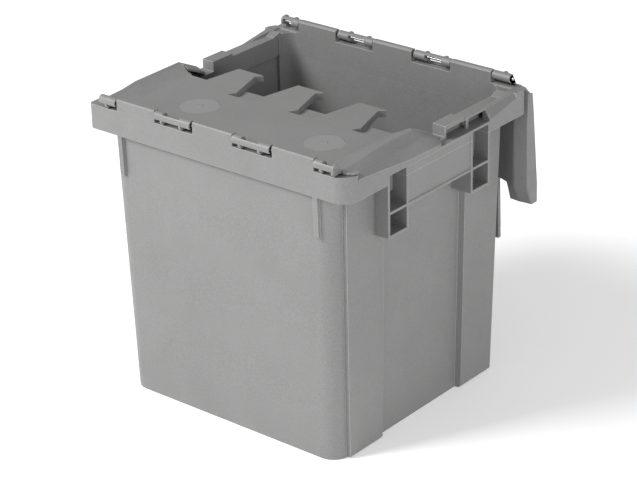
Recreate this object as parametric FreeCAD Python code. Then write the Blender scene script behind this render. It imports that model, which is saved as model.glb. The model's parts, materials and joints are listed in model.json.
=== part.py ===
import FreeCAD, Part
import math
import os

from FreeCAD import Vector

# Attached lid tote, in millimetres.
# X runs along the two hinged sides, Y from the front hinge to the rear hinge, Z up.
# The origin is the centre of the underside, the face that the tote stands on.
# The front lid is shut, and the rear lid hangs open behind the tote.

# ---- Overall ----
RIM_X = 195.0            # half length of the rim over its end faces
RIM_Y = 170.5            # half width of the rim over its hinge faces
RIM_RADIUS = 20.0        # plan radius of the rim's corners at +X -Y and at -X +Y
SHARP_RADIUS = 6.0       # and of the other two
RIM_TOP = 386.0          # top of the hinge rails
BAND_BOTTOM = 340.0      # lower edge of the rim band
WALL = 3.0
FLOOR = 4.0

# ---- Tub: half sizes at the floor and at the band ----
CORE_FOOT = (162.5, 157.7)
CORE_HEAD = (169.5, 165.0)
CORE_RADIUS = 22.0
END_FOOT = (168.0, 139.0)    # the end walls stand proud of the corner columns
END_HEAD = (175.0, 147.0)
RECESS_Y = 78.0              # half width of the sunken panel in each end wall
RECESS_DEPTH = 8.0
RECESS_TOP = 318.0

# ---- Rim ----
RAIL_INNER = 162.0       # inner face of the hinge rails
CORNER_TOP = 371.0       # top of the rim's corners, and floor of the hinge pockets
SHELF_TOP = 369.2        # rim below the lids' corners
POCKETS = ((29.8, 89.2), (148.7, 177.0))
BLOCK_X = (168.5, 186.0)     # raised rim along each end
BLOCK_START = 21.0
BLOCK_STEP = 57.0
BLOCK_HIGH = 370.0
BLOCK_LOW = 366.6
LIP_TOP = 353.5
WINDOWS = ((23.5, 61.7), (66.5, 98.3))
WINDOW_TOP = 364.6
SEAT_TOP = 356.8

# ---- Hand grips ----
GRIP_POSTS = (60.0, 97.0)
GRIP_BOTTOM = 274.0
GRIP_SHELF = 303.0
GRIP_TOP_WINDOW = 351.0
PANEL_DEPTH = 1.2        # how far the grip panel lies behind its frame
PLATE = 3.0

# ---- Hinges ----
AXIS_Y = 167.6
AXIS_Z = 380.2
ROD_RADIUS = 1.75
ROD_CLEARANCE = 0.05
ROD_HALF = 178.0
KNUCKLE_RADIUS = 5.6
KNUCKLE_SHELL = 1.9
KNUCKLE_GAPS = (1.2, 3.2)    # from the ends of a pocket, at -X and at +X
FLAP_EDGE = 4.2              # lower edge of the flap, below the axis
RIB_WIDTH = 3.0
# Each knuckle: its two ends along the rod, and its ribs. The front lid's, from -X to +X.
KNUCKLES = ((-175.6, -150.2, (-164.4,)),
            (-88.0, -33.0, (-76.6, -48.0)),
            (31.0, 86.0, (42.4, 71.0)),
            (149.9, 178.4, (160.0, 176.9)))
OPEN_ANGLE = 268.0       # a lid's travel from shut to hanging

# ---- Lids ----
LID_TOP = 373.0
LID_SKIN = 3.0
LID_EDGE = 159.5         # hinge-side edge of the panel
SLOPE_FOOT = 152.0
CREST_X = 178.5
LID_OUT = 197.0
# Stations of the end flange, from the hinge inwards: y, crest, outer edge, bottom of the skirt.
FRONT_FLANGE = ((-166.0, 376.4, 370.0, 366.8),
                (-127.0, 378.2, 370.6, 364.2),
                (-104.0, 381.4, 371.4, 362.2),
                (-60.0, 381.9, 373.6, 358.2),
                (-28.5, 382.2, 375.0, 357.6))
REAR_FLANGE = ((-166.0, 376.4, 373.3, 368.6),
               (-127.0, 378.2, 375.5, 365.0),
               (-104.0, 381.8, 377.7, 363.4),
               (-28.5, 383.0, 378.5, 358.6))
# Where the outer edge and the bottom of the skirt lie along X.
FRONT_EDGE = (190.2, 196.6)
REAR_EDGE = (196.4, LID_OUT)
FLANGE_START = 150.0
CORNER_SHEET = 371.6     # underside of the flange where it lies over the rim's corner
CORNER_TAB = 2.8
FLANGE_CLEARANCE = 0.7
RAMP_END = 2.0
# Heights at the ramp's end: foot, crest, outer edge, bottom of the skirt.
FRONT_RAMP = (362.8, 367.6, 362.8, 357.0)
REAR_RAMP = (370.4, 372.0, 369.5, 359.0)
RAMP_FOOT = 165.0
TONGUE = (163.0, 184.0, 13.0)
TONGUE_Z = (357.4, 359.9)
SEAL_PLACE = (172.5, 6.2)
FINGER_PITCH = 94.0
FINGER_TIP = 16.0
NOTCH_FLOOR = -56.0
FINGER_SKIRT = 364.0
REAR_SKIRT = 367.8
SKIRT_WALL = 2.5
LEDGE_Z = (364.5, 367.0)
LEDGE_EDGE = -25.0
SEAL_HOLE = 2.7
LID_GAP = 1.3
DISC_RADIUS = 24.3
DISC_PLACES = ((-78.0, -104.0), (110.0, -104.0))
DISC_RISE = 0.4


# ---------------------------------------------------------------- helpers

def box(x0, x1, y0, y1, z0, z1):
    return Part.makeBox(x1 - x0, y1 - y0, z1 - z0, Vector(x0, y0, z0))


def fuse(shapes):
    shapes = list(shapes)
    return shapes[0].multiFuse(shapes[1:]).removeSplitter()


def mirror_x(shape):
    return shape.mirror(Vector(0, 0, 0), Vector(1, 0, 0))


def mirror_y(shape):
    return shape.mirror(Vector(0, 0, 0), Vector(0, 1, 0))


def both_ends(shape):
    return [shape, mirror_x(shape)]


def both_sides(shape):
    return [shape, mirror_y(shape)]


def polygon(points):
    return Part.makePolygon([Vector(*p) for p in points] + [Vector(*points[0])])


def plan_prism(points, z0, z1):
    """A flat outline in plan, drawn up from z0 to z1."""
    face = Part.Face(polygon([(x, y, z0) for x, y in points]))
    return face.extrude(Vector(0, 0, z1 - z0))


def side_prism(points, x0, x1):
    """An outline of (y, z) points, drawn along X."""
    face = Part.Face(polygon([(x0, y, z) for y, z in points]))
    return face.extrude(Vector(x1 - x0, 0, 0))


def end_prism(points, y0, y1):
    """An outline of (x, z) points, drawn along Y."""
    face = Part.Face(polygon([(x, y0, z) for x, z in points]))
    return face.extrude(Vector(0, y1 - y0, 0))


def rod_along_x(radius, x0, x1, y, z):
    return Part.makeCylinder(radius, x1 - x0, Vector(x0, y, z), Vector(1, 0, 0))


def rim_outline():
    """The rim's outline as a solid, with two large corners and two small ones."""
    block = box(-RIM_X, RIM_X, -RIM_Y, RIM_Y, BAND_BOTTOM, RIM_TOP)
    height = (RIM_TOP - BAND_BOTTOM) / 2
    for radius, side in ((RIM_RADIUS, -1), (SHARP_RADIUS, 1)):
        block = fillet_where(block, radius, lambda e: e.BoundBox.ZLength > height
                             and e.BoundBox.YLength < 0.1
                             and e.BoundBox.XMin * e.BoundBox.YMin * side > 0)
    return block


def drafted(foot, head, z0, z1):
    """Half sizes at z0 and z1 on the straight draft from the floor to the band."""
    def at(z):
        share = z / BAND_BOTTOM
        return [f + (h - f) * share for f, h in zip(foot, head)]
    return at(z0), at(z1)


def drafted_block(foot, head, inset, z0, z1):
    """A block with four drafted sides between two heights."""
    (low_x, low_y), (high_x, high_y) = drafted(foot, head, z0, z1)
    low_x, low_y, high_x, high_y = [v - inset for v in (low_x, low_y, high_x, high_y)]
    across = end_prism([(-low_x, z0), (low_x, z0), (high_x, z1), (-high_x, z1)], -250, 250)
    along = side_prism([(-low_y, z0), (low_y, z0), (high_y, z1), (-high_y, z1)], -250, 250)
    return across.common(along)


def drafted_core(inset, z0, z1):
    block = drafted_block(CORE_FOOT, CORE_HEAD, inset, z0, z1)
    return fillet_where(block, CORE_RADIUS - inset, lambda e: e.BoundBox.ZLength > (z1 - z0) / 2)


def drafted_ends(inset, z0, z1):
    return drafted_block(END_FOOT, END_HEAD, inset, z0, z1)


def recess(inset, z0, z1):
    """What is sunk out of an end wall. With an inset it is the bulge inside the tub."""
    draft = (END_HEAD[0] - END_FOOT[0]) / BAND_BOTTOM
    slope_x = END_FOOT[0] + draft * z0 - inset
    floor_x = slope_x - RECESS_DEPTH
    half = RECESS_Y + inset
    outline = polygon([(floor_x, -half + 2, z0), (slope_x, -half, z0), (230, -half, z0),
                       (230, half, z0), (slope_x, half, z0), (floor_x, half - 2, z0)])
    return Part.Face(outline).extrude(Vector(draft * (z1 - z0), 0, z1 - z0))


def fillet_where(shape, radius, chosen):
    edges = [e for e in shape.Edges if chosen(e)]
    return shape.makeFillet(radius, edges) if edges else shape


# ---------------------------------------------------------------- tote body

def soft_foot(block, radius):
    """Rounds the edges round the underside of a block."""
    foot = block.BoundBox.ZMin + 0.01
    return fillet_where(block, radius, lambda e: e.BoundBox.ZMax < foot)


def tub_outside():
    """The tub as a solid, up to the band."""
    shape = fuse([soft_foot(drafted_core(0, 0, BAND_BOTTOM), 4.0),
                  soft_foot(drafted_ends(0, 0, BAND_BOTTOM), 4.0)])
    for cut in both_ends(recess(0, -1.0, RECESS_TOP)):
        shape = shape.cut(cut)
    return shape


def tub_inside(z0, z1):
    """The hollow of the tub between two heights."""
    shape = fuse([soft_foot(drafted_core(WALL, z0, z1), 5.0),
                  soft_foot(drafted_ends(WALL, z0, z1), 5.0)])
    if z0 < RECESS_TOP:
        for bulge in both_ends(recess(WALL, z0 - 1, RECESS_TOP + WALL)):
            shape = shape.cut(bulge)
    return shape


def corner_ribs():
    """Short upright ribs under the band, near the corners of the hinged sides."""
    outline = [(-150.0, 340.0), (-169.4, 340.0), (-168.0, 290.0), (-160.0, 281.0), (-150.0, 281.0)]
    rib = side_prism(outline, 145.5, 151.5)
    ribs = []
    for shape in both_sides(rib):
        ribs += both_ends(shape)
    return ribs


def make_tub():
    shape = fuse([tub_outside()] + corner_ribs())
    return shape.cut(tub_inside(FLOOR, BAND_BOTTOM + 1))


def end_rim():
    """The rim of the +X end: the skirt with its lip, and the raised blocks with windows."""
    skirt_in = RIM_X - PLATE
    wall_out = END_HEAD[0]
    half = FLANGE_START
    web = box(wall_out - 7, skirt_in + 1, -half, half, LIP_TOP - PLATE, LIP_TOP)
    skirt = box(skirt_in, RIM_X, -half, half, BAND_BOTTOM, LIP_TOP)
    inner = box(BLOCK_X[0], wall_out, -half, half, BAND_BOTTOM, BLOCK_LOW)
    pieces = [web, skirt, inner]
    block = box(BLOCK_X[0], BLOCK_X[1], BLOCK_START, half, LIP_TOP - PLATE, BLOCK_LOW)
    raised = box(BLOCK_X[0], BLOCK_X[1], BLOCK_START, BLOCK_STEP, BLOCK_LOW - 1, BLOCK_HIGH)
    block = fuse([block, raised])
    hollow = box(BLOCK_X[0] + PLATE, BLOCK_X[1] - 2.5, BLOCK_START + 2.5, half - 15,
                 LIP_TOP, BLOCK_LOW - 2.0)
    block = block.cut(hollow)
    for y0, y1 in WINDOWS:
        block = block.cut(box(BLOCK_X[1] - 4, BLOCK_X[1] + 1, y0, y1, LIP_TOP, WINDOW_TOP))
    flare = Part.makeLoft([
        polygon([(BLOCK_X[1] - 3, y, LIP_TOP - 1), (RIM_X, y, LIP_TOP - 1), (RIM_X, y, edge),
                 (slope, y, top), (BLOCK_X[1] - 3, y, top)])
        for y, edge, slope, top in ((WINDOWS[1][1], LIP_TOP + 1.0, BLOCK_X[1] + 0.5, BLOCK_LOW),
                                    (half + 1, CORNER_TOP - 5, RIM_X - 4, CORNER_TOP))], True, True)
    rise = end_prism([(BLOCK_X[0], BLOCK_LOW - 1), (BLOCK_X[1], BLOCK_LOW - 1),
                      (BLOCK_X[1], CORNER_TOP), (BLOCK_X[0], CORNER_TOP)], half - 14, half + 1)
    slope = side_prism([(half - 15, BLOCK_LOW), (half - 15, CORNER_TOP + 1),
                        (half - 1, CORNER_TOP + 1), (half - 1, CORNER_TOP)],
                       BLOCK_X[0] - 1, BLOCK_X[1] + 1)
    block = fuse([block, flare, rise.cut(slope)])
    pieces += both_sides(block)
    pieces.append(box(skirt_in, RIM_X, -half, RAMP_END, BAND_BOTTOM, CORNER_TOP))
    for y in GRIP_POSTS:
        for side in (-1, 1):
            edge = side * y
            low, high = sorted((edge, edge + (PLATE if y == GRIP_POSTS[0] else -PLATE) * side))
            pieces.append(box(wall_out - 1, RIM_X, low, high, BAND_BOTTOM, LIP_TOP))
    shape = fuse(pieces)
    seat = box(BLOCK_X[0] - 8, BLOCK_X[1] + 2, -BLOCK_START, BLOCK_START, SEAT_TOP, RIM_TOP)
    shape = shape.cut(seat)
    low_seat = box(wall_out, BLOCK_X[1], -BLOCK_START - 2, BLOCK_START + 2,
                   LIP_TOP - PLATE, SEAT_TOP)
    shape = fuse([shape, low_seat])
    shape = shape.cut(Part.makeCylinder(SEAL_HOLE, 30, Vector(*SEAL_PLACE, SEAT_TOP - 20)))
    shape = shape.cut(under_flange())
    panel = box(RIM_X - PANEL_DEPTH, RIM_X + 1, -GRIP_POSTS[0], GRIP_POSTS[0], BAND_BOTTOM - 1, 350.5)
    shape = shape.cut(panel)
    inner_slope = end_prism([(BLOCK_X[0] - 3, BAND_BOTTOM - 1), (wall_out - WALL, BAND_BOTTOM - 1),
                             (wall_out - WALL, 350.0), (BLOCK_X[0], 361.0), (BLOCK_X[0] - 3, 361.0)],
                            -END_HEAD[1] + WALL, END_HEAD[1] - WALL)
    shape = shape.cut(inner_slope)
    for y0 in (GRIP_POSTS[0] + PLATE, -GRIP_POSTS[1] + PLATE):
        window = box(skirt_in - 1, RIM_X + 1, y0, y0 + GRIP_POSTS[1] - GRIP_POSTS[0] - 2 * PLATE,
                     BAND_BOTTOM - 1, GRIP_TOP_WINDOW)
        shape = shape.cut(window)
    return shape


def under_flange():
    """The space over the +X rim that the front lid's flange and ramp lie in."""
    edge_x, out_x = FRONT_EDGE
    stations = FRONT_FLANGE + ((RAMP_END + 1,) + FRONT_RAMP[1:],)
    sections = [polygon([(x, y, z) for x, z in (
        (170.0, 400.0), (170.0, crest - 5.6), (edge_x - 3.0, edge - 2.8),
        (out_x - 3.5, bottom - FLANGE_CLEARANCE), (out_x + 3, bottom - FLANGE_CLEARANCE),
        (out_x + 3, 400.0))]) for y, crest, edge, bottom in stations]
    space = Part.makeLoft(sections, True, True)
    return space.common(box(160, 210, -FLANGE_START, RAMP_END + 1, 300, 400))


def hinge_rail():
    """The rail along the front hinge, with its pockets and rod bore."""
    outline = [(-RIM_Y, BAND_BOTTOM), (-RAIL_INNER, BAND_BOTTOM), (-RAIL_INNER, RIM_TOP - 2.0),
               (-RAIL_INNER - 2.0, RIM_TOP), (-RIM_Y + 1.0, RIM_TOP), (-RIM_Y, RIM_TOP - 1.0)]
    return side_prism(outline, -POCKETS[1][1], POCKETS[1][1])


def rim_corner():
    """One corner of the rim, at +X +Y, as a block that is trimmed to the outline."""
    return box(POCKETS[1][0], RIM_X, FLANGE_START, RIM_Y, BAND_BOTTOM, CORNER_TOP)


def corner_shelf():
    """What is cut out of one corner of the rim, to make room for the lid's hinge strip."""
    return box(POCKETS[1][0] - 10, CREST_X + 2, FLANGE_START - 2, RAIL_INNER, SHELF_TOP, CORNER_TOP + 1)


def make_rim():
    corners = []
    for shape in both_sides(rim_corner()):
        corners += both_ends(shape)
    wall_ring = box(-RIM_X, RIM_X, -RIM_Y, RIM_Y, BAND_BOTTOM, SHELF_TOP)
    ring_limit = drafted_core(0, BAND_BOTTOM, RIM_TOP + 1)
    ring_limit = fuse([ring_limit, drafted_ends(0, BAND_BOTTOM, RIM_TOP + 1)])
    wall_ring = wall_ring.common(ring_limit)
    ends_above = box(-RIM_X, RIM_X, -FLANGE_START, FLANGE_START, BLOCK_LOW, RIM_TOP)
    seat_gap = box(-RIM_X, RIM_X, -BLOCK_START, BLOCK_START, SEAT_TOP, RIM_TOP)
    wall_ring = wall_ring.cut(ends_above).cut(seat_gap)
    blank = fuse([wall_ring] + corners + both_sides(hinge_rail()) + both_ends(end_rim()))
    hollow = fuse([drafted_core(WALL, BAND_BOTTOM - 1, RIM_TOP + 1),
                   drafted_ends(WALL, BAND_BOTTOM - 1, RIM_TOP + 1)])
    blank = blank.cut(hollow.cut(
        fuse(both_sides(hinge_rail()) + both_ends(box(BLOCK_X[0], RIM_X, -RIM_Y, RIM_Y,
                                                      BAND_BOTTOM, RIM_TOP)))))
    shape = blank.common(rim_outline())
    for shelf in both_sides(corner_shelf()):
        for cut in both_ends(shelf):
            shape = shape.cut(cut)
    for low, high in POCKETS:
        for side in (-1, 1):
            x0, x1 = sorted((side * low, side * high))
            for y0, y1 in ((-RIM_Y - 1, -RAIL_INNER + 1), (RAIL_INNER - 1, RIM_Y + 1)):
                shape = shape.cut(box(x0, x1, y0, y1, CORNER_TOP, RIM_TOP + 1))
    for side in (-1, 1):
        bore = rod_along_x(ROD_RADIUS + ROD_CLEARANCE, -RIM_X, RIM_X, side * AXIS_Y, AXIS_Z)
        shape = shape.cut(bore)
    return shape.removeSplitter()


def make_grip():
    """The hand grip of the +X end: two open posts and the panel between them."""
    half = GRIP_POSTS[0]
    face = RIM_X - PANEL_DEPTH
    pieces = [box(face - PLATE, face, -half, half, GRIP_SHELF, BAND_BOTTOM),
              box(face - PLATE - 2, RIM_X, -half, half, GRIP_SHELF, GRIP_SHELF + PLATE)]
    inner, outer = GRIP_POSTS
    for y0, y1 in ((inner, inner + PLATE), (outer - PLATE, outer)):
        pieces += both_sides(box(150, RIM_X, y0, y1, GRIP_BOTTOM, BAND_BOTTOM))
    for z in (GRIP_BOTTOM, GRIP_SHELF):
        pieces += both_sides(box(150, RIM_X, inner, outer, z, z + PLATE))
    return fuse(pieces).cut(tub_outside())


def make_rod(side):
    return rod_along_x(ROD_RADIUS, -ROD_HALF, ROD_HALF, side * AXIS_Y, AXIS_Z)


# ---------------------------------------------------------------- lids
# Both lids are drawn shut, with the hinge on the -Y side. The rear lid is then turned round.

def flange_skin(edges, crest, edge, bottom):
    """The outside and the inside of a flange beyond its crest, as (x, z) points."""
    edge_x, out_x = edges
    outer = [(CREST_X + 1, crest), (CREST_X + 3, crest - 0.7), (edge_x - 0.8, edge + 0.7),
             (edge_x + 0.4, edge - 0.6), (out_x, bottom)]
    inner = [(out_x - 3, bottom), (edge_x - 2.8, edge - 1.9), (CREST_X - 0.5, crest - 3.5)]
    return outer, inner


def flange_section(edges, y, crest, edge, bottom):
    """One section across the whole lid, flange to flange, as a closed sheet outline."""
    outer, inner = flange_skin(edges, crest, edge, bottom)
    right = [(SLOPE_FOOT, LID_TOP), (CREST_X - 3, crest - 1.4), (CREST_X - 1, crest - 0.3)]
    right += outer + inner
    right += [(CREST_X - 3, crest - LID_SKIN - 1.4), (SLOPE_FOOT, LID_TOP - LID_SKIN)]
    left = [(-x, z) for x, z in reversed(right)]
    return polygon([(x, y, z) for x, z in right + left])


def lid_sheet(edges, stations):
    """The panel and its two raised end flanges, from the hinge to the fingers' roots."""
    shape = Part.makeLoft([flange_section(edges, *station) for station in stations], True, True)
    shape = shape.cut(box(-LID_OUT - 1, LID_OUT + 1, -200, -LID_EDGE, 0, 500))
    corner = plan_prism([(CREST_X + 0.4, -200), (CREST_X + 0.4, -161), (LID_OUT - 7, -157),
                         (LID_OUT + 1, -150), (LID_OUT + 1, -200)], 300, 450)
    below = box(CREST_X + 0.4, LID_OUT + 1, -200, -FLANGE_START + 0.6, 300, CORNER_SHEET)
    for cut in both_ends(corner) + both_ends(below):
        shape = shape.cut(cut)
    tab = plan_prism([(CREST_X - 3, -146), (CREST_X - 3, -158.5), (LID_OUT - 7.5, -157),
                      (LID_OUT - 4, -153.5), (LID_OUT - 4, -146)],
                     CORNER_SHEET, CORNER_SHEET + CORNER_TAB)
    return fuse([shape] + both_ends(tab))


def ramp(edges, last, end, end_heights, wall_foot):
    """The sloping end of one flange, from its crest down to the seat in the middle of the rim."""
    def top(foot, crest, edge, bottom):
        outer, inner = flange_skin(edges, crest, edge, bottom)
        return [(RAMP_FOOT, foot), (CREST_X - 1, crest - 0.3)] + outer, inner

    def section(y, foot, crest, edge, bottom):
        outer, inner = top(foot, crest, edge, bottom)
        return polygon([(x, y, z) for x, z in outer + inner + [(RAMP_FOOT, foot - LID_SKIN)]])

    y, crest, edge, bottom = last
    run = (RAMP_FOOT - SLOPE_FOOT) / (CREST_X - SLOPE_FOOT)
    foot = LID_TOP + (crest - LID_TOP) * run
    sheet = Part.makeLoft([section(y, foot, crest, edge, bottom), section(end, *end_heights)], True, True)
    outline = top(*end_heights)[0]
    out_x, low = outline[-1]
    outline += [(out_x - 3, low), (out_x - 3.1, wall_foot), (RAMP_FOOT, wall_foot)]
    return fuse([sheet, end_prism(outline, end - 2.5, end)])


def tongue():
    """The low tab past the ramp, with a hole for a plastic seal."""
    x0, x1, reach = TONGUE
    z0, z1 = TONGUE_Z
    shape = plan_prism([(x0, -3), (x1 + 8, -3), (x1 + 8, 1), (x1, 6), (x1, reach - 3),
                        (x1 - 3, reach), (x0 + 3, reach), (x0, reach - 3)], z0, z1)
    return shape.cut(Part.makeCylinder(SEAL_HOLE, 10, Vector(*SEAL_PLACE, z0 - 3)))


def flat_face(points):
    return Part.Face(polygon([(x, y, 0) for x, y in points]))


def prism_of(face, z0, z1):
    return face.translated(Vector(0, 0, z0)).extrude(Vector(0, 0, z1 - z0))


def front_area():
    """The front lid's panel in plan, from y = -90 to its three fingers."""
    points = [(172.0, -90.0), (172.0, -28.5), (150.0, -42.0), (150.0, NOTCH_FLOOR)]
    for shift in (FINGER_PITCH, 0.0, -FINGER_PITCH):
        points += [(16.0 + shift, NOTCH_FLOOR), (22.0 + shift, NOTCH_FLOOR + 11),
                   (5.0 + shift, FINGER_TIP - 7.5), (12.0 + shift, FINGER_TIP - 0.5),
                   (-28.0 + shift, FINGER_TIP)]
        if shift > -FINGER_PITCH:
            points.append((-41.0 + shift, NOTCH_FLOOR))
    points += [(-129.0, -35.5), (-158.0, -34.5), (-172.0, -28.5), (-172.0, -90.0)]
    return flat_face(points)


def rear_area():
    """The rear lid's panel in plan, which fills the front lid's notches, turned round to the front."""
    root = -NOTCH_FLOOR
    whole = flat_face([(-149.0, -root + LID_GAP), (149.0, -root + LID_GAP), (149.0, 28.5),
                       (172.0, 28.5), (172.0, 90.0), (-172.0, 90.0), (-172.0, 28.5), (-149.0, 28.5)])
    face = whole.cut(front_area().makeOffset2D(LID_GAP, 2))
    face = max(face.Faces, key=lambda f: f.Area)
    face.rotate(Vector(0, 0, 0), Vector(0, 0, 1), 180)
    return face


def finger_plate(area, skirt_bottom):
    """The flat part of a lid between its flanges, with the skirt that hangs from its edge."""
    plate = prism_of(area, LID_TOP - LID_SKIN, LID_TOP)
    plate = plate.common(box(-SLOPE_FOOT, SLOPE_FOOT, -200, 200, 0, 500))
    ring = area.cut(area.makeOffset2D(-SKIRT_WALL, 2))
    skirt = prism_of(ring, skirt_bottom, LID_TOP - 1)
    skirt = skirt.common(box(-SLOPE_FOOT - 3, SLOPE_FOOT + 3, -85, 200, 0, 500))
    return fuse([plate, skirt])


def ledges():
    """Low shelves in the front lid's notches, which carry the rear lid's fingers."""
    z0, z1 = LEDGE_Z
    shapes = []
    for shift in (FINGER_PITCH, 0.0, -FINGER_PITCH):
        shelf = plan_prism([(13.5 + shift, NOTCH_FLOOR - 2), (54.0 + shift, NOTCH_FLOOR - 2),
                            (58.0 + shift, LEDGE_EDGE), (9.0 + shift, LEDGE_EDGE)], z0, z1)
        riser = box(14.5 + shift, 55.0 + shift, NOTCH_FLOOR - 2.5, NOTCH_FLOOR, z0, LID_TOP - 1)
        shape = fuse([shelf, riser])
        shape = shape.cut(Part.makeCylinder(SEAL_HOLE, 10, Vector(50.5 + shift, -44.5, z0 - 3)))
        shapes.append(shape)
    return shapes


def discs():
    """Shallow round pads on the panel, each with a low button at its centre."""
    shapes = []
    for x, y in DISC_PLACES:
        shapes.append(Part.makeCone(DISC_RADIUS, DISC_RADIUS - 1, DISC_RISE + 0.5,
                                    Vector(x, y, LID_TOP - 0.5)))
        shapes.append(Part.makeCylinder(4.0, DISC_RISE + 0.8, Vector(x, y, LID_TOP - 0.5)))
    return shapes


def knuckle(x0, x1, ribs):
    """The rolled flap over the rod in one pocket, its ribs, and its strips to the panel."""
    axis_y = -AXIS_Y

    def at(d, h):
        return (axis_y + d, AXIS_Z + h)

    shell = rod_along_x(KNUCKLE_RADIUS, x0, x1, axis_y, AXIS_Z)
    shell = shell.cut(rod_along_x(KNUCKLE_RADIUS - KNUCKLE_SHELL, x0, x1, axis_y, AXIS_Z))
    below = side_prism([at(-8, -FLAP_EDGE), at(2.0, -FLAP_EDGE), at(3.0, -1.0), at(9, -1.0), at(9, -9),
                        at(-8, -9)], x0 - 1, x1 + 1)
    shell = shell.cut(below)
    panel_h = LID_TOP - AXIS_Z
    under_h = panel_h - LID_SKIN
    strip = side_prism([at(3.3, 1.9), at(5.2, 1.7), at(5.8, -0.6), at(8.5, -4.6), at(10.5, -6.2),
                        at(13.5, panel_h), at(17.0, panel_h), at(17.0, under_h),
                        at(9.8, under_h), at(6.6, -7.6), at(3.4, -1.6)], x0, x1)
    if len(ribs) == 2:
        window = side_prism([at(0, 0), at(-5.1, 6.1), at(9.0, 8.0), at(9.0, -9.5), at(0.0, -9.5)],
                            ribs[0] + RIB_WIDTH / 2, ribs[1] - RIB_WIDTH / 2)
        shell = shell.cut(window)
        strip = strip.cut(window)
    pieces = [shell, strip]
    for x in ribs:
        rib = side_prism([at(-3.4, -8.0), at(2.0, -8.0), at(7.0, -7.4), at(8.2, -5.0), at(5.0, 0.4),
                          at(2.6, 3.9), at(-2.6, 3.9), at(-4.6, 1.0), at(-5.7, -3.0), at(-5.5, -5.8)],
                         x - RIB_WIDTH / 2, x + RIB_WIDTH / 2)
        pieces.append(rib)
    shape = fuse(pieces)
    bore = rod_along_x(ROD_RADIUS + ROD_CLEARANCE, x0 - 2, x1 + 2, axis_y, AXIS_Z)
    return shape.cut(bore)


def lid(area, skirt_bottom, edges, stations):
    """The sheet, the fingers and the hinge of a lid in its shut place, with the hinge on the -Y side."""
    beyond = box(-172, 172, -60, 120, 300, 400).cut(prism_of(area, 300, 400))
    pieces = [lid_sheet(edges, stations).cut(beyond), finger_plate(area, skirt_bottom)]
    return pieces + [knuckle(*row) for row in KNUCKLES] + discs()


def make_front_lid():
    pieces = lid(front_area(), FINGER_SKIRT, FRONT_EDGE, FRONT_FLANGE)
    pieces += both_ends(ramp(FRONT_EDGE, FRONT_FLANGE[-1], RAMP_END, FRONT_RAMP, TONGUE_Z[0]))
    return fuse(pieces + ledges() + [tongue()])


def make_rear_lid():
    pieces = lid(rear_area(), REAR_SKIRT, REAR_EDGE, REAR_FLANGE)
    pieces += both_ends(ramp(REAR_EDGE, REAR_FLANGE[-1], -RAMP_END - LID_GAP, REAR_RAMP, TONGUE_Z[1] + 1.5))
    shape = fuse(pieces)
    shape.rotate(Vector(0, 0, 0), Vector(0, 0, 1), 180)
    shape.rotate(Vector(0, AXIS_Y, AXIS_Z), Vector(1, 0, 0), -OPEN_ANGLE)
    return shape


# ---------------------------------------------------------------- output

def build_all():
    grip = make_grip()
    return {
        "tote_tub": make_tub(),
        "tote_rim": make_rim(),
        "hand_grip_right": grip,
        "hand_grip_left": mirror_x(grip),
        "front_hinge_rod": make_rod(-1),
        "rear_hinge_rod": make_rod(1),
        "front_lid": make_front_lid(),
        "rear_lid": make_rear_lid(),
    }


os.makedirs("parts", exist_ok=True)
for name, shape in build_all().items():
    bounds = shape.BoundBox
    print(name, "solids", len(shape.Solids), "valid", shape.isValid(), "volume", round(shape.Volume / 1000, 1),
          [round(v, 1) for v in (bounds.XMin, bounds.XMax, bounds.YMin, bounds.YMax, bounds.ZMin, bounds.ZMax)])
    shape.exportStep("parts/" + name + ".step")
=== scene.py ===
import json
import math

import bpy
from mathutils import Matrix, Vector

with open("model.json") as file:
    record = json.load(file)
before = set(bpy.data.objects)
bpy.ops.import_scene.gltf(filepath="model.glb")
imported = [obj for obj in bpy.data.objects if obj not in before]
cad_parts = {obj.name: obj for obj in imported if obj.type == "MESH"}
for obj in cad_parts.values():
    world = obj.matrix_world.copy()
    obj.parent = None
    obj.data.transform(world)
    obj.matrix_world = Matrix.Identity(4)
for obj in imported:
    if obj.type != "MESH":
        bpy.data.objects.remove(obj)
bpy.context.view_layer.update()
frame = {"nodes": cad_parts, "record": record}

MM = 0.001
WHITE = (1.0, 1.0, 1.0, 1.0)

# ---- Camera: angles in degrees, lengths in metres ----
AZIMUTH = 40.08
ELEVATION = 24.83
DISTANCE = 2.8683
TARGET = Vector((0.0, 0.0, 0.1925))
ROLL = -1.44
FOCAL_PIXELS = 2362.31
IMAGE_WIDTH = 637
SHIFT = (7.23 / IMAGE_WIDTH, -6.3 / IMAGE_WIDTH)
SENSOR = 36.0


def add_camera():
    az, el, roll = (math.radians(a) for a in (AZIMUTH, ELEVATION, ROLL))
    back = Vector((math.sin(az) * math.cos(el), -math.cos(az) * math.cos(el), math.sin(el)))
    right = Vector((math.cos(az), math.sin(az), 0.0))
    up = back.cross(right)
    turned_right = right * math.cos(roll) + up * math.sin(roll)
    turned_up = up * math.cos(roll) - right * math.sin(roll)
    data = bpy.data.cameras.new("camera")
    data.sensor_fit = "HORIZONTAL"
    data.sensor_width = SENSOR
    data.lens = FOCAL_PIXELS * SENSOR / IMAGE_WIDTH
    data.shift_x, data.shift_y = SHIFT
    camera = bpy.data.objects.new("camera", data)
    place = Matrix((turned_right, turned_up, back)).transposed().to_4x4()
    place.translation = TARGET + back * DISTANCE
    camera.matrix_world = place
    bpy.context.scene.collection.objects.link(camera)
    bpy.context.scene.camera = camera


# ---- Light and floor ----
WORLD_STRENGTH = 0.42
BACKDROP_STRENGTH = 1.0
LIGHT_AIM = Vector((0.0, 0.0, 0.2))
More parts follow.
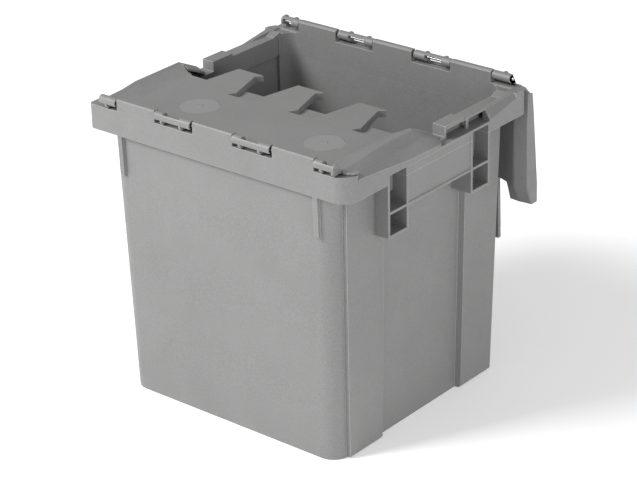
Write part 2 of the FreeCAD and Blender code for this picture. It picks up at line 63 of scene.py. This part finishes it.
# Each square lamp: name, place, side and watts.
LAMPS = (("key", (-1.6, -2.4, 2.7), 1.5, 170.0),
         ("side", (3.2, -0.9, 0.9), 1.4, 52.0))
FLOOR_HALF = 8.0
FLOOR_DROP = 0.0003       # keeps the floor just clear of the underside
FLOOR_GREY = 0.93
FLOOR_GLOW = 0.25


def add_lamp(name, place, side, watts):
    data = bpy.data.lights.new(name, "AREA")
    data.shape = "SQUARE"
    data.size = side
    data.energy = watts
    lamp = bpy.data.objects.new(name, data)
    lamp.location = place
    lamp.rotation_euler = (LIGHT_AIM - Vector(place)).to_track_quat("-Z", "Y").to_euler()
    bpy.context.scene.collection.objects.link(lamp)


def add_world():
    """Even light from all round; the camera sees the same white at its own strength."""
    world = bpy.data.worlds.new("studio")
    world.use_nodes = True
    tree = world.node_tree
    light = tree.nodes["Background"]
    backdrop = tree.nodes.new("ShaderNodeBackground")
    for node, strength in ((light, WORLD_STRENGTH), (backdrop, BACKDROP_STRENGTH)):
        node.inputs["Color"].default_value = WHITE
        node.inputs["Strength"].default_value = strength
    ray = tree.nodes.new("ShaderNodeLightPath")
    mix = tree.nodes.new("ShaderNodeMixShader")
    tree.links.new(ray.outputs["Is Camera Ray"], mix.inputs[0])
    tree.links.new(light.outputs[0], mix.inputs[1])
    tree.links.new(backdrop.outputs[0], mix.inputs[2])
    tree.links.new(mix.outputs[0], tree.nodes["World Output"].inputs["Surface"])
    bpy.context.scene.world = world


def add_floor():
    mesh = bpy.data.meshes.new("floor")
    half = FLOOR_HALF
    corners = [(-half, -half), (half, -half), (half, half), (-half, half)]
    mesh.from_pydata([(x, y, -FLOOR_DROP) for x, y in corners], [], [(0, 1, 2, 3)])
    floor = bpy.data.objects.new("floor", mesh)
    bpy.context.scene.collection.objects.link(floor)
    material = bpy.data.materials.new("floor")
    material.use_nodes = True
    shader = material.node_tree.nodes["Principled BSDF"]
    shader.inputs["Base Color"].default_value = (FLOOR_GREY, FLOOR_GREY, FLOOR_GREY, 1.0)
    shader.inputs["Roughness"].default_value = 0.9
    shader.inputs["Specular IOR Level"].default_value = 0.1
    shader.inputs["Emission Color"].default_value = WHITE
    shader.inputs["Emission Strength"].default_value = FLOOR_GLOW
    mesh.materials.append(material)


# ---- Materials ----
BODY_GREY = 0.180
LID_GREY = 0.180
# Where the tub meets the rim inside the tote: its height, and how far out it reaches in X and Y.
SEAM_HEIGHT = 0.340
SEAM_REACH = (0.1735, 0.1640)
# Centres of the painted sheen on the front lid: lighter round patches standing for polished areas; their
# radius, and how far their rim wanders.
SHEEN_DISCS = ((-78 * MM, -104 * MM, 372 * MM), (110 * MM, -104 * MM, 372 * MM))
SHEEN_DISC_RADIUS = 23.4 * MM
SHEEN_DISC_WANDER = 2.4 * MM
# How far from a sharp edge the painted highlight reaches.
EDGE_HIGHLIGHT_REACH = 1.3 * MM
EDGE_ROUND = 0.8 * MM

class Graph:
    """Short names for the nodes of one material."""

    def __init__(self, name):
        self.material = bpy.data.materials.new(name)
        self.material.use_nodes = True
        self.tree = self.material.node_tree
        self.shader = self.tree.nodes["Principled BSDF"]
        self.place = self.tree.nodes.new("ShaderNodeTexCoord").outputs["Object"]

    def link(self, start, end):
        self.tree.links.new(start, end)

    def put(self, socket, value):
        if isinstance(value, bpy.types.NodeSocket):
            self.link(value, socket)
        else:
            socket.default_value = value

    def scaled(self, scale):
        node = self.tree.nodes.new("ShaderNodeMapping")
        self.link(self.place, node.inputs["Vector"])
        node.inputs["Scale"].default_value = scale
        return node.outputs["Vector"]

    def noise(self, scale, detail=4.0, roughness=0.55, stretch=None):
        node = self.tree.nodes.new("ShaderNodeTexNoise")
        self.link(self.scaled(stretch) if stretch else self.place, node.inputs["Vector"])
        node.inputs["Scale"].default_value = scale
        node.inputs["Detail"].default_value = detail
        node.inputs["Roughness"].default_value = roughness
        return node.outputs["Fac"]

    def maths(self, operation, a, b=0.0, clamp=False):
        node = self.tree.nodes.new("ShaderNodeMath")
        node.operation = operation
        node.use_clamp = clamp
        self.put(node.inputs[0], a)
        self.put(node.inputs[1], b)
        return node.outputs[0]

    def spread(self, value, low, high, new_low=0.0, new_high=1.0):
        node = self.tree.nodes.new("ShaderNodeMapRange")
        node.clamp = True
        node.interpolation_type = "SMOOTHSTEP"
        self.put(node.inputs["Value"], value)
        limits = {"From Min": low, "From Max": high, "To Min": new_low, "To Max": new_high}
        for name, number in limits.items():
            node.inputs[name].default_value = number
        return node.outputs["Result"]

    def blend(self, share, a, b):
        node = self.tree.nodes.new("ShaderNodeMix")
        node.data_type = "RGBA"
        self.put(node.inputs["Factor"], share)
        self.put(node.inputs[6], a)
        self.put(node.inputs[7], b)
        return node.outputs[2]

    def distance(self, point):
        node = self.tree.nodes.new("ShaderNodeVectorMath")
        node.operation = "DISTANCE"
        self.link(self.place, node.inputs[0])
        node.inputs[1].default_value = point
        return node.outputs["Value"]

    def bump(self, height, distance, strength=1.0, normal=None):
        node = self.tree.nodes.new("ShaderNodeBump")
        node.inputs["Strength"].default_value = strength
        node.inputs["Distance"].default_value = distance
        self.link(height, node.inputs["Height"])
        if normal is not None:
            self.link(normal, node.inputs["Normal"])
        return node.outputs["Normal"]

    def rounded(self, radius):
        """The surface normal with sharp edges rounded off."""
        node = self.tree.nodes.new("ShaderNodeBevel")
        node.samples = 6
        node.inputs["Radius"].default_value = radius
        return node.outputs["Normal"]

    def seam(self):
        """1 along the inside of the tote where its tub and its rim meet, 0 elsewhere."""
        x, y, z = self.tree.nodes.new("ShaderNodeSeparateXYZ").outputs
        self.link(self.place, x.node.inputs[0])
        near = self.maths("COMPARE", z, SEAM_HEIGHT)
        near.node.inputs[2].default_value = 2 * MM
        within_x = self.maths("LESS_THAN", self.maths("ABSOLUTE", x), SEAM_REACH[0])
        within_y = self.maths("LESS_THAN", self.maths("ABSOLUTE", y), SEAM_REACH[1])
        return self.maths("MULTIPLY", near, self.maths("MULTIPLY", within_x, within_y))

    def edges(self, radius):
        """1 close to a sharp edge, 0 on open surface."""
        soft = self.rounded(radius)
        true = self.tree.nodes.new("ShaderNodeNewGeometry").outputs["Normal"]
        node = self.tree.nodes.new("ShaderNodeVectorMath")
        node.operation = "DOT_PRODUCT"
        self.link(soft, node.inputs[0])
        self.link(true, node.inputs[1])
        return self.spread(node.outputs["Value"], 0.995, 0.88)


def grey(value, warmth=0.0):
    return (value * (1 + warmth), value, value * (1 - warmth), 1)


def plastic(name, base, seed, sheen_centres=()):
    """Moulded polypropylene: fine spark-eroded grain, faint flow marks, and a painted highlight along
    the edges.

    Each disc given is the centre of a lighter round patch, painted sheen standing for a polished area."""
    g = Graph(name)
    mottle = g.noise(7.0 + seed, 5.0, 0.6)
    flow = g.noise(14.0, 3.0, 0.5, stretch=(2.0, 2.0, 0.6))
    speckle = g.noise(480.0, 3.0, 0.65)
    tone = g.maths("ADD", g.spread(mottle, 0.3, 0.7, -0.35, 0.35), g.spread(flow, 0.3, 0.7, -0.15, 0.15))
    tone = g.maths("ADD", tone, g.spread(speckle, 0.3, 0.7, -0.8, 0.8))
    colour = g.blend(g.spread(tone, -1.3, 1.3), grey(base * 0.90, 0.006), grey(base * 1.10, 0.006))
    # Painted sheen: the lids' base colour is made lighter in round patches, standing for the sheen of
    # polished areas; the patch rims wander with noise.
    painted_sheen = 0.0
    for centre in sheen_centres:
        wobble = g.maths("MULTIPLY", g.noise(70.0, 2.0, 0.5), SHEEN_DISC_WANDER)
        away = g.maths("ADD", g.distance(centre), wobble)
        patch = g.spread(away, SHEEN_DISC_RADIUS, SHEEN_DISC_RADIUS + 1.6 * MM, 1.0, 0.0)
        painted_sheen = g.maths("MAXIMUM", patch, painted_sheen)
    if sheen_centres:
        colour = g.blend(g.maths("MULTIPLY", painted_sheen, 0.5), colour, grey(base * 1.36))
    # Painted highlight: the base colour turns lighter along sharp edges, where rounded edges catch the
    # light, broken up by noise; the seam inside the tote gets none.
    edge = g.edges(EDGE_HIGHLIGHT_REACH)
    edge = g.maths("SUBTRACT", edge, g.seam(), True)
    painted_edge_highlight = g.maths("MULTIPLY", edge, g.spread(g.noise(160.0, 4.0, 0.65), 0.18, 0.55, 0.45, 1.0), True)
    colour = g.blend(g.maths("MULTIPLY", painted_edge_highlight, 0.80), colour, grey(base * 2.1, 0.004))
    scuff = g.spread(g.noise(60.0, 6.0, 0.7, stretch=(1.0, 1.0, 5.0)), 0.60, 0.72)
    colour = g.blend(g.maths("MULTIPLY", scuff, 0.08), colour, grey(base * 1.5))
    g.link(colour, g.shader.inputs["Base Color"])
    rough = g.maths("ADD", g.spread(g.noise(35.0, 4.0, 0.6), 0.3, 0.7, 0.42, 0.54),
                    g.maths("MULTIPLY", scuff, 0.10))
    g.link(rough, g.shader.inputs["Roughness"])
    grain = g.maths("ADD", g.noise(1500.0, 3.0, 0.6), g.maths("MULTIPLY", g.noise(520.0, 2.0, 0.5), 0.6))
    normal = g.rounded(EDGE_ROUND)
    normal = g.bump(g.noise(26.0, 2.0, 0.5), 0.5 * MM, 0.25, normal)
    normal = g.bump(grain, 0.05 * MM, 0.55, normal)
    g.link(normal, g.shader.inputs["Normal"])
    g.shader.inputs["IOR"].default_value = 1.49
    g.shader.inputs["Specular IOR Level"].default_value = 0.45
    return g.material


def galvanised(name):
    """Bright zinc-plated wire with fine drawing lines along it."""
    g = Graph(name)
    lines = g.noise(700.0, 3.0, 0.6, stretch=(0.02, 1.0, 1.0))
    spots = g.noise(90.0, 4.0, 0.6)
    colour = g.blend(g.spread(spots, 0.35, 0.65), (0.42, 0.42, 0.43, 1), (0.56, 0.56, 0.57, 1))
    g.link(colour, g.shader.inputs["Base Color"])
    g.shader.inputs["Metallic"].default_value = 1.0
    g.link(g.spread(spots, 0.3, 0.7, 0.26, 0.42), g.shader.inputs["Roughness"])
    g.link(g.bump(lines, 0.05 * MM, 0.4), g.shader.inputs["Normal"])
    return g.material


def hinge_turn(joint, degrees):
    """The turn of a lid about its hinge, as a matrix in the frame."""
    place = Matrix.Translation(Vector(joint["pos_m"]))
    return place @ Matrix.Rotation(math.radians(degrees), 4, Vector(joint["axis"])) @ place.inverted()


def sheen_disc_centres():
    """The centres of the lighter round patches of painted sheen, the same on both lids, each in its
    lid's rest pose.
    """
    shut = [Vector(point) for point in SHEEN_DISCS]
    rear = {joint["name"]: joint for joint in frame["record"]["behaviour"]["joints"]}["rear_lid_hinge"]
    hanging = hinge_turn(rear, -rear["range_deg"][1])
    return shut, [hanging @ Vector((-p.x, -p.y, p.z)) for p in shut]


def paint():
    front, back = sheen_disc_centres()
    tote = plastic("tote_plastic_look", BODY_GREY, 0.0)
    wire = galvanised("hinge_wire_look")
    looks = {"front_hinge_rod": wire, "rear_hinge_rod": wire,
             "front_lid": plastic("front_lid_look", LID_GREY, 1.7, front),
             "rear_lid": plastic("rear_lid_look", LID_GREY, 2.3, back)}
    for name, node in frame["nodes"].items():
        look = looks.get(name, tote)
        for slot in node.material_slots:
            slot.link = "OBJECT"
            slot.material = look


def soften():
    """Gives the flat faces clean shading and rounds the lids' edges.

    The tote's own nodes are one moulding, so the edges where they meet stay unbroken."""
    for name, node in frame["nodes"].items():
        weld = node.modifiers.new("weld", "WELD")
        weld.merge_threshold = 0.00002
        flat = node.modifiers.new("flat", "DECIMATE")
        flat.decimate_type = "DISSOLVE"
        flat.angle_limit = math.radians(0.5)
        if name in ("front_lid", "rear_lid"):
            bevel = node.modifiers.new("bevel", "BEVEL")
            bevel.width = 0.5 * MM
            bevel.segments = 2
            bevel.limit_method = "ANGLE"
            bevel.angle_limit = math.radians(35)
            bevel.use_clamp_overlap = False
        else:
            split = node.modifiers.new("split", "EDGE_SPLIT")
            split.split_angle = math.radians(30)
            split.use_edge_sharp = False
        even = node.modifiers.new("even", "WEIGHTED_NORMAL")
        even.keep_sharp = False
        even.weight = 80


bpy.context.scene.view_settings.view_transform = "Standard"
add_camera()
add_world()
add_floor()
for lamp_settings in LAMPS:
    add_lamp(*lamp_settings)
paint()
soften()
